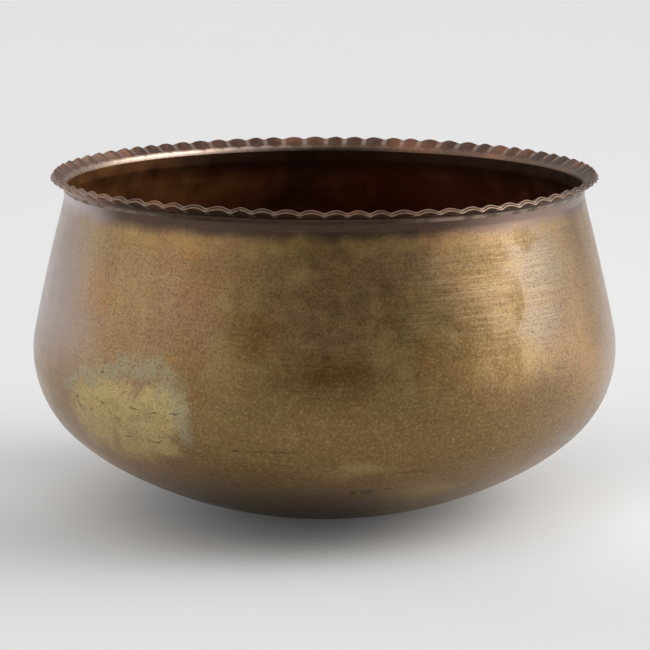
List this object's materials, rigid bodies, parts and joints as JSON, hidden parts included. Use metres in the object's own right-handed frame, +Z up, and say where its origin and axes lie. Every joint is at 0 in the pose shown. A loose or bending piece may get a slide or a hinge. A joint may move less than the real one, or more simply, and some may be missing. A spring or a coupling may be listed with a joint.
{
  "type": "brass planter pot",
  "caption": "Wide, low, round planter pot in aged brass sheet: dished lower bowl, tapering shoulder and a flared lip crimped into pie-crust flutes; open at the top.",
  "frame": {"origin": "centre of the flat underside that the pot stands on", "axes": "+Z up through the mouth along the pot's axis; the pot is round, and +X and +Y only fix where the two strip joints of the lip lie"},
  "size_m": [0.3, 0.3, 0.172],
  "materials": {
    "aged_brass": "brushed, aged, mottled olive-gold",
    "rim_brass": "heat-tinted, hand-crimped, coppery brown",
    "braze": "filed braze, dull"
  },
  "bodies": {
    "root": {"lower_bowl": "aged_brass", "shoulder_shell": "aged_brass", "belly_braze_ring": "braze", "neck_braze_ring": "braze", "rim_strip_outer": "rim_brass", "rim_strip_inner": "rim_brass", "outer_strip_end_braze": "braze", "inner_strip_end_braze": "braze"}
  },
  "joints": []
}
